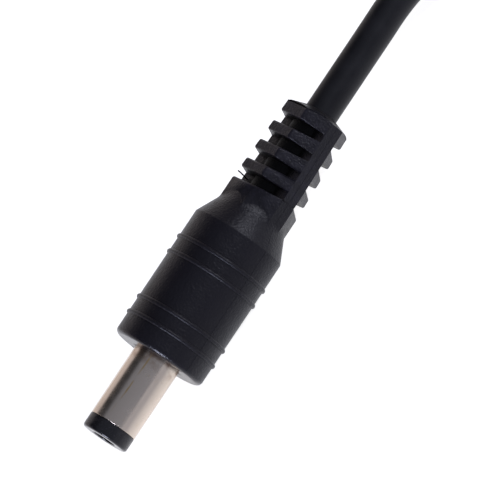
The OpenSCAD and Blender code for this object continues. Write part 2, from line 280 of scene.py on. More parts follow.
def jacket_finish():
    finish, tree, shader = new_finish("extruded_black_pvc", "#17171b", 0.4, Specular_IOR_Level=0.32)
    along_lead = add(tree, "ShaderNodeAttribute", output="Fac", attribute_name="along")
    round_lead = add(tree, "ShaderNodeAttribute", output="Fac", attribute_name="around")
    angle = add(tree, MATH, (round_lead, 2 * math.pi), operation="MULTIPLY")
    circle = [add(tree, MATH, (angle,), operation=wave) for wave in ("COSINE", "SINE")]
    skin = add(tree, "ShaderNodeMapping", {
        "Vector": add(tree, COMBINE, (*circle, along_lead)), "Scale": (9.0, 9.0, 55.0),
    })
    die_lines = add(tree, NOISE, {"Vector": skin, "Scale": 2.2, "Detail": 3.0})
    grain = add(tree, NOISE, {"Vector": millimetres(tree), "Scale": 5.0, "Detail": 3.0})
    wear = add(tree, NOISE, {"Vector": millimetres(tree), "Scale": 0.35, "Detail": 4.0})
    fine_part = add(tree, MATH, (grain, 0.4), operation="MULTIPLY")
    relief = add(tree, MATH, (die_lines, 0.6, fine_part), operation="MULTIPLY_ADD")
    rubbed = add(tree, RANGE, (wear, 0.4, 0.75))
    dress(tree, shader, (relief, 0.55, 0.00003), rubbed, colour("#151519"), colour("#1d1d21"))
    plug(tree, shader, {"Roughness": add(tree, RANGE, (wear, 0.3, 0.7, 0.34, 0.48))})
    return finish


jacket_pvc = jacket_finish()
print("finish:", jacket_pvc.name)

# %% [markdown]
# ## The lead's tube
# A tube that follows a line could be bridged ring by ring in code. Geometry Nodes does it by rule: the
# route becomes a curve, a circle is swept along it, and the length along the lead and the share of the way
# round it are stored on the mesh for the finish. Realised geometry with its material set is what the last
# nodes give, and the result is kept as a plain mesh.

# %% A tube swept by Geometry Nodes


def new_rule(name, inputs):
    """An empty geometry tree with named inputs. Returns the tree and what its input node gives."""
    rule = bpy.data.node_groups.new(name, "GeometryNodeTree")
    rule.interface.new_socket("Geometry", in_out="INPUT", socket_type="NodeSocketGeometry")
    for title, kind in inputs.items():
        rule.interface.new_socket(title, in_out="INPUT", socket_type="NodeSocket" + kind)
    rule.interface.new_socket("Geometry", in_out="OUTPUT", socket_type="NodeSocketGeometry")
    return rule, rule.nodes.new("NodeGroupInput").outputs


def end_rule(rule, geometry, finish):
    """The last nodes of each rule: smooth shading, real geometry and its material."""
    soft = add(rule, "GeometryNodeSetShadeSmooth", {"Geometry": geometry})
    real = add(rule, "GeometryNodeRealizeInstances", {"Geometry": soft})
    finished = add(rule, "GeometryNodeSetMaterial", {"Geometry": real, "Material": finish})
    plug(rule, rule.nodes.new("NodeGroupOutput"), {"Geometry": finished})
    return rule


def carry_out(rule, points, name, values):
    """Carries a rule out on a bare line of points, and keeps what it makes as a piece with a plain mesh."""
    line = bpy.data.meshes.new(name + "_line")
    line.from_pydata(points, [(i, i + 1) for i in range(len(points) - 1)], [])
    source = bpy.data.objects.new(name + "_line", line)
    bpy.context.scene.collection.objects.link(source)
    modifier = source.modifiers.new("rule", "NODES")
    modifier.node_group = rule
    for item in rule.interface.items_tree:
        if item.in_out == "INPUT" and item.name in values:
            modifier[item.identifier] = values[item.name]
    evaluated = source.evaluated_get(bpy.context.evaluated_depsgraph_get())
    made = bpy.data.meshes.new_from_object(evaluated)
    bpy.data.objects.remove(source)
    piece = bpy.data.objects.new(name, made)
    bpy.context.scene.collection.objects.link(piece)
    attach(piece, "root")
    print("%s: %d faces" % (name, len(made.polygons)))
    return piece


def tube_rule():
    rule, given = new_rule("tube along a line", {"Radius": "Float", "Sides": "Int", "Finish": "Material"})
    curve = add(rule, "GeometryNodeMeshToCurve", {"Mesh": given["Geometry"]})
    line = add(rule, "GeometryNodeCurveSplineType", {"Curve": curve}, spline_type="POLY")
    circle = add(rule, "GeometryNodeCurvePrimitiveCircle", {
        "Resolution": given["Sides"], "Radius": given["Radius"],
    })
    marked = {}
    for title, source, parameter in (("along", line, "Length"), ("around", circle, "Factor")):
        capture = add(rule, "GeometryNodeCaptureAttribute", {"Geometry": source}).node
        capture.capture_items.new("FLOAT", title)
        plug(rule, capture, {1: add(rule, "GeometryNodeSplineParameter", output=parameter)})
        marked[title] = capture.outputs
    tube = add(rule, "GeometryNodeCurveToMesh", {
        "Curve": marked["along"][0], "Profile Curve": marked["around"][0], "Fill Caps": True,
    })
    for title, capture in marked.items():
        tube = add(rule, "GeometryNodeStoreNamedAttribute", {
            "Geometry": tube, "Name": title, "Value": capture[1],
        }, data_type="FLOAT")
    return end_rule(rule, tube, given["Finish"])


swept_tube = tube_rule()
lead = carry_out(swept_tube, route, "lead", {
    "Radius": CORD_R * MM, "Sides": 48, "Finish": jacket_pvc,
})
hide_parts("free_cord", "cord_hank")

# %% [markdown]
# ## Forms made of rings and faces
# Several pieces start as a list of rings that are joined into a skin, or as a copy of a CAD solid. They
# share the few steps here: copy a solid, join rings, bevel edges, and turn the form into a mesh with smooth
# shading that breaks at the creases. The copy of a solid is needed because its triangles are loose and
# small: joined and merged again, each flat is one face, and an edge can be told from a mere seam.

# %% Shared steps for forms
SAME_PLACE = 2e-7
FLAT_ANGLE = math.radians(0.6)


def copy_of_node(node):
    """A CAD node's mesh, joined where its triangles meet, with each flat as one face."""
    form = bmesh.new()
    form.from_mesh(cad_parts[node].data)
    bmesh.ops.remove_doubles(form, verts=form.verts, dist=SAME_PLACE)
    bmesh.ops.dissolve_limit(form, angle_limit=FLAT_ANGLE, verts=form.verts, edges=form.edges)
    return form


def join_rings(form, rings):
    """A skin of four-sided faces from each ring to the next."""
    for ring, following in zip(rings, rings[1:]):
        for j in range(len(ring)):
            k = (j + 1) % len(ring)
            form.faces.new((ring[j], ring[k], following[k], following[j]))


def bevel(form, edges, width, segments, clamp):
    """Rounds edges to a width in millimetres, and gives the new faces."""
    return bmesh.ops.bevel(
        form, geom=edges, offset=width * MM, offset_type="OFFSET", segments=segments, profile=0.5,
        affect="EDGES", clamp_overlap=clamp,
    )["faces"]


def part_wide_faces(form):
    """Parts faces with many corners, which shade badly, into triangles."""
    bmesh.ops.triangulate(form, faces=[face for face in form.faces if len(face.verts) > 4])


def to_mesh(form, name, crease=None):
    """A smooth mesh of the form, with sharp edges where it turns by more than the crease in degrees."""
    mesh = bpy.data.meshes.new(name)
    form.to_mesh(mesh)
    form.free()
    for polygon in mesh.polygons:
        polygon.use_smooth = True
    if crease:
        mesh.set_sharp_from_angle(angle=math.radians(crease))
    print("%s: %d faces" % (name, len(mesh.polygons)))
    return mesh


def turned(name, outline_at, sides, crease):
    """Turns an outline of (x, radius) in millimetres round the X axis. It may change with the angle."""
    form = bmesh.new()
    rings = []
    for i in range(sides):
        angle = 2 * math.pi * i / sides
        c, s = math.cos(angle), math.sin(angle)
        rings.append([form.verts.new(metres(x, r * c, r * s)) for x, r in outline_at(angle)])
    join_rings(form, rings + rings[:1])
    bmesh.ops.recalc_face_normals(form, faces=form.faces)
    return to_mesh(form, name, crease)


def show(name, mesh, finish):
    """A piece on the root with one finish."""
    piece = bpy.data.objects.new(name, mesh)
    bpy.context.scene.collection.objects.link(piece)
    mesh.materials.clear()
    mesh.materials.append(finish)
    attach(piece, "root")
    return piece


# %% [markdown]
# ## The moulding
# The grip, shoulder, neck and slotted bend relief are one piece of soft PVC, injected round the barrel and
# the lead. The CAD solid has its exact planes but edges of no width, and no real edge is like that: the
# steel of a mould is never perfectly sharp, and the plastic draws back a little as it cools. Rebuilding the
# form with subdivision would lose the crisp slots, so a copy of the solid's own mesh gets a bevel along the
# outer corners of the ribs and the end plate instead. The narrow curved faces that this makes are what
# catch the light along the ribs. Slivers of about a tenth of a millimetre are welded first. The short edges
# where a slot runs out beside the spine stay as they are, because a bevel wider than the edge it follows
# would fold over itself. The grip's rings and rims are round in the solid already. Every other edge that
# turns by more than twelve degrees is shaded sharp.

# %% A copy of the solid with softened edges
EDGE = 0.22
EDGE_SEGMENTS = 4
SLIVER = 0.12
SLIVERS_FROM = GRIP_END + 1
CORNERS_FROM = RELIEF_START - 0.5
CORNER_ANGLE = math.radians(24)
CREASE_ANGLE = math.radians(12)
SHORTEST_BEVEL = 0.4
NECK_OUTSIDE = 3.2
SPINE_HALF_WIDTH = 1.1


def to_soften(edge):
    """Is an edge an outer corner of a rib or the end plate, and long enough for a bevel of full width?"""
    middle = (edge.verts[0].co + edge.verts[1].co) / 2
    return (
        edge.is_manifold and edge.calc_face_angle_signed(0) > CORNER_ANGLE
        and edge.calc_length() > SHORTEST_BEVEL * MM
        and middle.x > CORNERS_FROM * MM and math.hypot(middle.y, middle.z) > NECK_OUTSIDE * MM
        and abs(middle.z) > SPINE_HALF_WIDTH * MM
    )


def softened_moulding():
    form = copy_of_node("overmould")
    beyond_grip = [vert for vert in form.verts if vert.co.x > SLIVERS_FROM * MM]
    bmesh.ops.remove_doubles(form, verts=beyond_grip, dist=SLIVER * MM)
    bmesh.ops.dissolve_degenerate(form, edges=form.edges, dist=SAME_PLACE / 2)
    corners = [edge for edge in form.edges if to_soften(edge)]
    for edge in form.edges:
        edge.smooth = edge.is_manifold and abs(edge.calc_face_angle_signed(0)) < CREASE_ANGLE
    for edge in corners:
        edge.smooth = True
    rounded = bevel(form, corners, EDGE, EDGE_SEGMENTS, clamp=False)
    worn = form.verts.layers.float.new("worn")
    for face in rounded:
        for vert in face.verts:
            vert[worn] = 1.0
    bmesh.ops.remove_doubles(form, verts=form.verts, dist=SAME_PLACE / 2)
    part_wide_faces(form)
    print("corners softened:", len(corners))
    return to_mesh(form, "moulding")


def keep_flats_flat(piece):
    """Lets the large faces decide the shading normals, and keeps the result."""
    weigh = piece.modifiers.new("weigh", "WEIGHTED_NORMAL")
    weigh.mode = "FACE_AREA"
    weigh.weight = 70
    weigh.keep_sharp = True
    evaluated = piece.evaluated_get(bpy.context.evaluated_depsgraph_get())
    settled = bpy.data.meshes.new_from_object(evaluated)
    piece.modifiers.clear()
    piece.data = settled
    return piece


# %% [markdown]
# ## The moulding's plastic
# The mould's steel was left with a fine spark-eroded grain, and the plastic copies it as a soft satin. The
# real grain is a few hundredths of a millimetre, too fine to show, so the noise that stands for it on the
# bump is about a quarter of a millimetre. A wider noise varies the gloss, and the `worn` value that the
# bevels carry makes the edges a little greyer, as rubbing does. The steel blades that leave the slots are
# not polished at all, so the floor of each slot is duller than the outside. The floor is also coloured
# near black, which is painted shade for the deep, narrow slots. The front face forms against the plate
# that holds the barrel, which is ground flat, so it is smoother.

# %% Finish: injection-moulded black PVC
MOULDED_BLACK = "#131119"


def moulding_finish():
    finish, tree, shader = new_finish(
        "grained_black_moulding", MOULDED_BLACK, 0.36, Specular_IOR_Level=0.34
    )
    place = millimetres(tree)
    x, y, z = add(tree, SPLIT, (place,)).node.outputs
    behind_face = add(tree, RANGE, (x, 0.1, 0.5))

    grain = add(tree, NOISE, {"Vector": place, "Scale": 4.2, "Detail": 3.0, "Roughness": 0.6})
    pits = add(tree, "ShaderNodeTexVoronoi", {"Vector": place, "Scale": 4.0})
    pitted = add(tree, MATH, (pits, 0.3), operation="MULTIPLY")
    fine = add(tree, BUMP, {
        "Height": add(tree, MATH, (grain, 0.8, pitted), operation="MULTIPLY_ADD"),
        "Strength": add(tree, RANGE, (behind_face, 0.0, 1.0, 0.12, 0.8)), "Distance": 0.00009,
    })
    swell = add(tree, NOISE, {"Vector": place, "Scale": 0.35, "Detail": 1.0})

    patches = add(tree, NOISE, {"Vector": place, "Scale": 1.3, "Detail": 6.0})
    outside = add(tree, RANGE, (patches, 0.3, 0.7, 0.33, 0.41))
    ground = add(tree, RANGE, (behind_face, 0.0, 1.0, 0.55, 1.0))
    gloss = add(tree, MATH, (outside, ground), operation="MULTIPLY")
    z_squared = add(tree, MATH, (z, z), operation="MULTIPLY")
    radius_squared = add(tree, MATH, (y, y, z_squared), operation="MULTIPLY_ADD")
    # near the axis, in the slots' floors: more roughness for the unpolished blades, and a near-black colour
    # that is painted shade
    slot_floor_dull_and_shaded = add(tree, RANGE, (radius_squared, 5.5, 10.0, 1.0, 0.0))

    worn = add(tree, "ShaderNodeAttribute", output="Fac", attribute_name="worn")
    uneven = add(tree, RANGE, (patches, 0.42, 0.62, 0.1, 0.6))
    skin = add(tree, MIX, {
        0: add(tree, MATH, (worn, uneven), operation="MULTIPLY"),
        MIX_FIRST: colour(MOULDED_BLACK), MIX_SECOND: colour("#26242f"),
    }, MIX_RESULT, data_type="RGBA")
    plug(tree, shader, {
        "Normal": add(tree, BUMP, {"Height": swell, "Strength": 0.35, "Distance": 0.0002, "Normal": fine}),
        "Roughness": add(tree, MATH, (slot_floor_dull_and_shaded, 0.3, gloss), operation="MULTIPLY_ADD"),
        # the slot floors' near-black colour is painted shade
        "Base Color": add(tree, MIX, {
            0: slot_floor_dull_and_shaded, MIX_FIRST: skin, MIX_SECOND: colour("#060608"),
        }, MIX_RESULT, data_type="RGBA"),
    })
    return finish


moulded_pvc = moulding_finish()
moulding = keep_flats_flat(show("moulding", softened_moulding(), moulded_pvc))
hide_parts("overmould")

# %% [markdown]
# ## Where the shoulder runs into the neck
# The cavity of the shoulder is a cone and that of the neck is a prism with eight unequal sides. The cone
# runs on until it meets each side, so that every flat starts in a curve, and the toolmaker blends the two
# with a wide fillet. Bevelling that curved corner edge by edge would wrinkle it. It is a surface of its own
# instead: at each station and each angle its radius is the larger of the cone's and the prism's, taken with
# a maximum that rounds the corner between them. Away from the corner the surface lies just under the
# moulding, and at its two ends it dives into it.

# %% The shoulder's blend
NECK_SIDES = {
    0: 4.1, 37.25: 3.845, -37.25: 3.845, 90: 3.71, -90: 3.71, 180: 4.1, 142.75: 3.845, -142.75: 3.845,
}
FILLET = 0.24
RIDGE = 0.16
FACING = 0.4
BLEND_START = 17.0
BLEND_END = 20.9
BLEND_INSIDE = 3.3
SUNK = 0.005
DIVE = 0.06
DIVE_AT_START = 0.5
DIVE_AT_END = 0.8
STATIONS = np.linspace(BLEND_START, BLEND_END, 44)


def soft_max(a, b, width):
    overlap = max(width - abs(a - b), 0) / width
    return max(a, b) + overlap * overlap * width / 4


def neck_radius(angle):
    """The prism's distance from the axis at an angle from the Y axis, with its ridges a little rounded."""
    reaches = []
    for normal, distance in NECK_SIDES.items():
        slant = math.cos(angle - math.radians(normal))
        if slant > FACING:
            reaches.append(distance / slant)
    reaches.sort()
    return -soft_max(-reaches[0], -reaches[1], RIDGE)


def blend_radius(x, angle):
    cone = GRIP_R - (x - GRIP_END) * (GRIP_R - NECK_R) / (NECK_START - GRIP_END)
    to_start = max(0, 1 - (x - BLEND_START) / DIVE_AT_START)
    to_end = max(0, 1 - (BLEND_END - x) / DIVE_AT_END)
    return soft_max(cone, neck_radius(angle), FILLET) - SUNK - DIVE * (to_end + to_start)


def blend_outline(angle):
    outside = [(x, blend_radius(x, angle)) for x in STATIONS]
    return outside + [(BLEND_END, BLEND_INSIDE), (BLEND_START, BLEND_INSIDE)]


show("shoulder_blend", turned("shoulder_blend", blend_outline, 288, 50), moulded_pvc)

# %% [markdown]
# ## Turned parts
# The sleeve is turned on a lathe from brass rod, and the nose ring is moulded in a round cavity, so both are
# full turns of a profile. A profile is a short list of corners, each with its own small radius, which is how
# a turner's drawing gives them too. The corners become arcs, and the outline is then turned round the plug's
# axis.

# %% Profiles with rounded corners


def rounded_outline(corners, steps=6):
    """Corners as (x, radius from the axis, rounding) become a closed outline with arcs at the corners."""
    outline = []
    for i, (x, r, rounding) in enumerate(corners):
        here = Vector((x, r))
        if rounding == 0:
            outline.append(here)
            continue
        before = (Vector(corners[i - 1][:2]) - here).normalized()
        after = (Vector(corners[(i + 1) % len(corners)][:2]) - here).normalized()
        half = before.angle(after) / 2
        reach = rounding / math.tan(half)
        middle = here + (before + after).normalized() * (rounding / math.sin(half))
        start, end = here + before * reach - middle, here + after * reach - middle
        for step in range(steps + 1):
            turned_way = start.normalized().slerp(end.normalized(), step / steps)
            outline.append(middle + turned_way * rounding)
    return outline


def lathe(name, corners):
    outline = rounded_outline(corners)
    return turned(name, lambda angle: outline, 160, 35)


# %% [markdown]
# ## Nickel-plated brass
# The sleeve is brass with a bright nickel plate. Three things tell it from chrome: the nickel is a warm
# grey, the turning tool has left fine rings round it, and every visit to a socket has drawn scratches along
# it, of which the deepest go through to the brass. One long rub on top is worn through too. The rings and
# scratches are noises that are stretched round the sleeve or along it. A brown film of handling gathers
# where the sleeve meets the plastic.

# %% Finish: nickel-plated brass
NICKEL = "#dacdbe"
BRASS = "#c9a869"
RUB_Y = -1.68
RUB_SLOPE = 0.03


def nickel_finish():
    finish, tree, shader = new_finish("nickel_plated_brass", NICKEL, 0.2, Metallic=1.0)
    scratches = add(tree, NOISE, {"Vector": millimetres(tree, (0.12, 1, 1)), "Scale": 9.0, "Detail": 3.0})
    rings = add(tree, NOISE, {"Vector": millimetres(tree, (1, 0.08, 0.08)), "Scale": 14.0, "Detail": 2.0})
    ring_part = add(tree, MATH, (rings, 0.3), operation="MULTIPLY")
    relief = add(tree, MATH, (scratches, 0.7, ring_part), operation="MULTIPLY_ADD")
    cloud = add(tree, NOISE, {"Vector": millimetres(tree), "Scale": 0.7, "Detail": 5.0})

    x, y, z = add(tree, SPLIT, (millimetres(tree),)).node.outputs
    near_plastic, uneven = add(tree, RANGE, (x, -1.6, 0.0)), add(tree, RANGE, (cloud, 0.4, 0.6))
    filmed = add(tree, MIX, {
        0: add(tree, MATH, (near_plastic, uneven), operation="MULTIPLY"),
        MIX_FIRST: colour(NICKEL), MIX_SECOND: colour("#8f7058"),
    }, MIX_RESULT, data_type="RGBA")

    deepest = add(tree, RANGE, (scratches, 0.66, 0.72))
    some_places = add(tree, RANGE, (cloud, 0.5, 0.58, 0.0, 0.7))
    scratched = add(tree, MIX, {
        0: add(tree, MATH, (deepest, some_places), operation="MULTIPLY"),
        MIX_FIRST: filmed, MIX_SECOND: colour(BRASS),
    }, MIX_RESULT, data_type="RGBA")

    slanted = add(tree, MATH, (x, RUB_SLOPE, y), operation="MULTIPLY_ADD")
    off_line = add(tree, MATH, (slanted, RUB_Y), operation="SUBTRACT")
    distance = add(tree, MATH, (off_line,), operation="ABSOLUTE")
    patchy = add(tree, NOISE, {"Vector": millimetres(tree, (0.5, 3, 3)), "Scale": 1.0, "Detail": 3.0})
    rub = add(tree, RANGE, (distance, 0.02, 0.1, 1.0, 0.0))
    for limit in (add(tree, RANGE, (patchy, 0.42, 0.6)), add(tree, RANGE, (z, 1.2, 1.8))):
        rub = add(tree, MATH, (rub, limit), operation="MULTIPLY")
    dress(tree, shader, (relief, 0.35, 0.000012), rub, scratched, colour(BRASS))
    plug(tree, shader, {"Roughness": add(tree, RANGE, (cloud, 0.3, 0.7, 0.16, 0.3))})
    return finish


nickel = nickel_finish()
print("finish:", nickel.name)

# %% The sleeve
SLEEVE_BORE_R = 2.35
ANCHOR_START = 0.15
ANCHOR_R = 2.57
SLEEVE_END = 4.6
sleeve = show("barrel_sleeve", lathe("barrel_sleeve", [
    (SLEEVE_FRONT, SLEEVE_BORE_R, 0.05), (SLEEVE_FRONT, BARREL_R, 0.1), (ANCHOR_START, BARREL_R, 0),
    (ANCHOR_START, ANCHOR_R, 0), (SLEEVE_END, ANCHOR_R, 0), (SLEEVE_END, SLEEVE_BORE_R, 0),
]), nickel)
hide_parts("outer_sleeve")

# %% [markdown]
# ## The nose ring
# The insulator is a black engineering plastic, harder and glossier than the PVC. Its nose stands in front
# of the sleeve with a rounded rim, and its hole leads the socket's pin into the contact. The flat of its
# face is the smoothest part. Only the nose shows, but the liner behind it is turned in the same outline,
# since they are one moulding.

# %% The insulator
NOSE_R = 2.74
NOSE_HOLE_R = 1.32
NOSE_BACK = SLEEVE_FRONT - 0.03
LINER_R = 2.34
LINER_BORE_R = 1.61
LINER_END = 1.2


def insulator_finish():
    finish, tree, shader = new_finish("glossy_black_insulator", "#18171b", 0.24)
    place = millimetres(tree)
    ripple = add(tree, NOISE, {"Vector": place, "Scale": 2.2, "Detail": 4.0})
    dust = add(tree, NOISE, {"Vector": place, "Scale": 4.0, "Detail": 6.0})
    behind_face = add(tree, RANGE, (add(tree, SPLIT, (place,), "X"), TIP + 0.1, TIP + 0.5))
    side = add(tree, RANGE, (ripple, 0.35, 0.7, 0.2, 0.36))
    face = add(tree, RANGE, (behind_face, 0.0, 1.0, 0.5, 1.0))
    strength = add(tree, RANGE, (behind_face, 0.0, 1.0, 0.08, 0.5))
    dusty = add(tree, RANGE, (dust, 0.56, 0.8))
    dress(tree, shader, (ripple, strength, 0.00004), dusty, colour("#17161a"), colour("#37353a"))
    plug(tree, shader, {"Roughness": add(tree, MATH, (side, face), operation="MULTIPLY")})
    return finish


nose = show("nose_and_liner", lathe("nose_and_liner", [
    (TIP, NOSE_HOLE_R, 0.2), (TIP, NOSE_R, 0.3), (NOSE_BACK, NOSE_R, 0.05), (NOSE_BACK, LINER_R, 0),
    (LINER_END, LINER_R, 0), (LINER_END, LINER_BORE_R, 0), (CONTACT_FRONT, LINER_BORE_R, 0),
    (CONTACT_FRONT, NOSE_HOLE_R, 0),
]), insulator_finish())
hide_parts("nose_insulator")

# %% [markdown]
# ## The contact
# The contact is a springy bronze tube with two slits. The CAD solid already has its bore, slits and tail,
# so its shape stays. A copy gets a fine bevel, because the rolled lip is the one part of it that the light
# finds in the nose's hole.

# %% The contact's lip
LIP_EDGE = 0.05
LIP_ANGLE = math.radians(25)


def contact_finish():
    finish, tree, shader = new_finish("tinned_spring_bronze", "#d8c9a8", 0.22, Metallic=1.0)
    streaks = add(tree, NOISE, {"Vector": millimetres(tree, (0.2, 1, 1)), "Scale": 12.0, "Detail": 3.0})
    bare = add(tree, RANGE, (streaks, 0.45, 0.7))
    dress(tree, shader, (streaks, 0.3, 0.00001), bare, colour("#dccfae"), colour("#b99763"))
    return finish


def softened_contact():
    form = copy_of_node("centre_contact")
    edges = [edge for edge in form.edges if edge.is_manifold and edge.calc_face_angle(0) > LIP_ANGLE]
    bevel(form, edges, LIP_EDGE, 2, clamp=True)
    part_wide_faces(form)
    return to_mesh(form, "centre_contact", 35)


contact = show("pin_contact", softened_contact(), contact_finish())
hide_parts("centre_contact")

# %% [markdown]
# ## The parting line and a whisker of flash
# Where the two halves of the mould meet, the melt creeps a few hundredths of a millimetre into the gap and
# stays behind as a fine raised line. It crosses the front face, runs along both sides of the grip and over
# its rings, and down the two spines of the bend relief. A cut into the moulding would be wrong, since the
# line stands up. It is a thin tube that lies half sunk along the moulding's own outline in the parting
# plane. In the first slot the mould's blades left a loose whisker as well, which nobody trimmed.

# %% Parting lines and whisker
GRIP_ROUND = 0.6
RING_R = 5.65
RING_ROUND = 0.25
RINGS = [2.675, 4.625, 10.475, 12.425]
SPINE_FACE = 4.1
SPINE_FACE_END = 3.83
PLATE_RIM = 31.28
FLASH_R = 0.03
FLASH_STEP = 0.06


def side_of_moulding(x):
    """How far the moulding's side stands from the axis in the parting plane."""
    side = float(np.interp(
        x,
        [GRIP_END, NECK_START, NECK_START + 0.3, RELIEF_START, PLATE_RIM, EXIT],
        [GRIP_R, NECK_R, SPINE_FACE, SPINE_FACE, SPINE_FACE_END, CORD_R],
    ))
    if x < GRIP_ROUND:
        side = GRIP_R - GRIP_ROUND + math.sqrt(GRIP_ROUND**2 - (GRIP_ROUND - x) ** 2)
    for ring in RINGS:
        rest = RING_ROUND**2 - (x - ring) ** 2
        if rest > 0:
            side = max(side, RING_R - RING_ROUND + math.sqrt(rest))
    return side


def flash_line(side):
    across_face = [(0, side * (BARREL_R + 0.03), 0)]
    along_side = [(x, side * side_of_moulding(x), 0) for x in np.arange(0, EXIT - 0.05, FLASH_STEP)]
    return [metres(*point) for point in across_face + along_side]


for title, side in (("near", -1), ("far", 1)):
    carry_out(swept_tube, flash_line(side), "parting_line_" + title, {
        "Radius": FLASH_R * MM, "Sides": 10, "Finish": moulded_pvc,
    })

WHISKER = [(21.85, 3.3, 0.7), (21.87, 3.28, 1.2), (21.93, 3.3, 1.6), (21.98, 3.36, 2.0), (22.0, 3.45, 2.45)]
WHISKER_R = 0.085
carry_out(swept_tube, [metres(*point) for point in WHISKER], "flash_whisker", {
    "Radius": WHISKER_R * MM, "Sides": 8, "Finish": moulded_pvc,
})

# %% [markdown]
# ## The strap's cloth
# The strap is a narrow nylon ribbon, woven on a needle loom. Its weft lies across it in fine ribs and its
# two edges are a little thicker. Modelling each thread would cost far more faces than the ribbon is worth,
# so the weave is a product of two waves on the bump, one along the ribbon and one across it. A low sheen
# gives the dusty edge light that cloth has and plastic hasn't.

# %% Finish: woven nylon
THREAD = 0.42


def ribbon_finish():
    finish, tree, shader = new_finish(
        "woven_black_nylon", "#1a1a1e", 0.78, Sheen_Weight=0.35, Sheen_Roughness=0.5
    )
    waves = []
    for way in ("along", "over"):
        run = add(tree, "ShaderNodeAttribute", output="Fac", attribute_name=way)
        phase = add(tree, MATH, (run, math.pi / (THREAD * MM)), operation="MULTIPLY")
        waves.append(add(tree, MATH, (phase,), operation="SINE"))
    crossing = add(tree, MATH, waves, operation="MULTIPLY")
    threads = add(tree, MATH, (crossing,), operation="ABSOLUTE")
    fuzz = add(tree, NOISE, {"Vector": millimetres(tree), "Scale": 7.0, "Detail": 4.0})
    relief = add(tree, MATH, (fuzz, 0.3, threads), operation="MULTIPLY_ADD")
    # the colour follows the weave's height: darker in the dips between threads and lighter on the crests,
    # which is painted shade
    painted_weave_shade = add(tree, RANGE, (relief, 0.1, 1.0))
    dress(tree, shader, (relief, 0.9, 0.00008), painted_weave_shade, colour("#0e0e11"), colour("#29292f"))
    return finish


nylon = ribbon_finish()
print("finish:", nylon.name)

# %% [markdown]
# ## The strap
# The strap is pulled round both runs of the hank and pressed shut on itself. It lies flat on the outer
# turns and bends round them at the corners, so its line is a rectangle whose corners have the lead's own
# radius. The ribbon is that line given a width and a thickness, with its edges a little rounded, and its
# free end is a second, shorter layer on top.

# %% The ribbon and its free end
STRAP_X = 83.69
STRAP_WIDTH = 8.0
STRAP_T = 0.4
END_T = 0.24
HANK_MID_Z = 0.45
HANK_HALF_Y = OUTER_FOLD + CORD_R
HANK_HALF_Z = 5.7


def strap_line():
    """The closed line of the ribbon's middle, as (y, z) and the way outwards."""
    corner = CORD_R + STRAP_T / 2
    half_y, half_z = HANK_HALF_Y + STRAP_T / 2, HANK_HALF_Z + STRAP_T / 2
    line = []
    for quarter in range(4):
        start = quarter * math.pi / 2
        side_y = 1 if quarter in (0, 3) else -1
        side_z = 1 if quarter in (0, 1) else -1
        for step in range(13):
            angle = start + step * math.pi / 24
            out = (math.cos(angle), math.sin(angle))
            line.append((
                (HANK_Y + side_y * (half_y - corner) + corner * out[0],
                 HANK_MID_Z + side_z * (half_z - corner) + corner * out[1]),
                out,
            ))
    return line


def end_line():
    """The free end: a short layer that lies on the ribbon, over the top of the hank."""
    level = HANK_MID_Z + HANK_HALF_Z + STRAP_T + END_T / 2
    return [((y, level), (0, 1)) for y in np.linspace(HANK_Y + 9, HANK_Y - 5, 40)]


def ribbon(name, line, x, width, thickness, closed):
    """A ribbon along a line of (y, z), with rounded edges and its two coordinates stored for the weave."""
    edge = thickness * 0.35
    section = [
        (0, edge), (edge, 0), (width - edge, 0), (width, edge),
        (width, thickness - edge), (width - edge, thickness), (edge, thickness), (0, thickness - edge),
    ]
    form = bmesh.new()
    along_layer = form.verts.layers.float.new("along")
    over_layer = form.verts.layers.float.new("over")
    rings, travelled = [], 0.0
    for i, ((y, z), out) in enumerate(line):
        if i:
            travelled += math.dist((y, z), line[i - 1][0])
        ring = []
        for over, rise in section:
            lift = rise - thickness / 2
            vert = form.verts.new(metres(x + over, y + out[0] * lift, z + out[1] * lift))
            vert[along_layer] = travelled * MM
            vert[over_layer] = over * MM
            ring.append(vert)
        rings.append(ring)
    join_rings(form, rings + rings[:1] if closed else rings)
    if not closed:
        form.faces.new(rings[0])
        form.faces.new(list(reversed(rings[-1])))
    bmesh.ops.recalc_face_normals(form, faces=form.faces)
    return to_mesh(form, name, 40)


strap = show("strap", ribbon("strap", strap_line(), STRAP_X, STRAP_WIDTH, STRAP_T, True), nylon)
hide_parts("hank_strap")
free_end = ribbon("strap_end", end_line(), STRAP_X + 0.15, STRAP_WIDTH - 0.3, END_T, False)
strap_end = show("strap_end", free_end, nylon)

# %% [markdown]
# ## The strap's stitches
# The free end is folded under and sewn down with two rows of thread. A row of stitches is one stitch
# repeated at a steady pitch along a line, which is a rule for Geometry Nodes: the line is resampled at the
# pitch, and a small bead of thread, drawn out along the line, is placed at each point.

# %% Rows of stitches
STITCH_ROWS = (HANK_Y - 4.2, HANK_Y - 3.0)
STITCH_MARGIN = 0.9
STITCH_PITCH = 0.95
STITCH_LENGTH = 0.8
THREAD_T = 0.22


def stitch_rule():
    rule, given = new_rule("a row of stitches", {
        "Pitch": "Float", "Length": "Float", "Thickness": "Float", "Finish": "Material",
    })
    curve = add(rule, "GeometryNodeMeshToCurve", {"Mesh": given["Geometry"]})
    places = add(rule, "GeometryNodeCurveToPoints", {
        "Curve": curve, "Length": given["Pitch"],
    }, "Points", mode="LENGTH")
    row = add(rule, "GeometryNodeInstanceOnPoints", {
        "Points": places,
        "Instance": add(rule, "GeometryNodeMeshUVSphere", {"Segments": 12, "Rings": 8, "Radius": 0.5}),
        "Rotation": places.node.outputs["Rotation"],
        "Scale": add(rule, COMBINE, (given["Thickness"], given["Thickness"], given["Length"])),
    })
    return end_rule(rule, row, given["Finish"])


def thread_finish():
    finish, tree, shader = new_finish("polyester_thread", "#2b2b30", 0.55)
    twist = add(tree, "ShaderNodeTexWave", {
        "Vector": millimetres(tree, (1, 1.4, 0.4)), "Scale": 6.0, "Distortion": 0.6,
    }, "Fac")
    plug(tree, shader, {"Normal": add(tree, BUMP, {"Height": twist, "Strength": 0.6, "Distance": 0.00003})})
    return finish


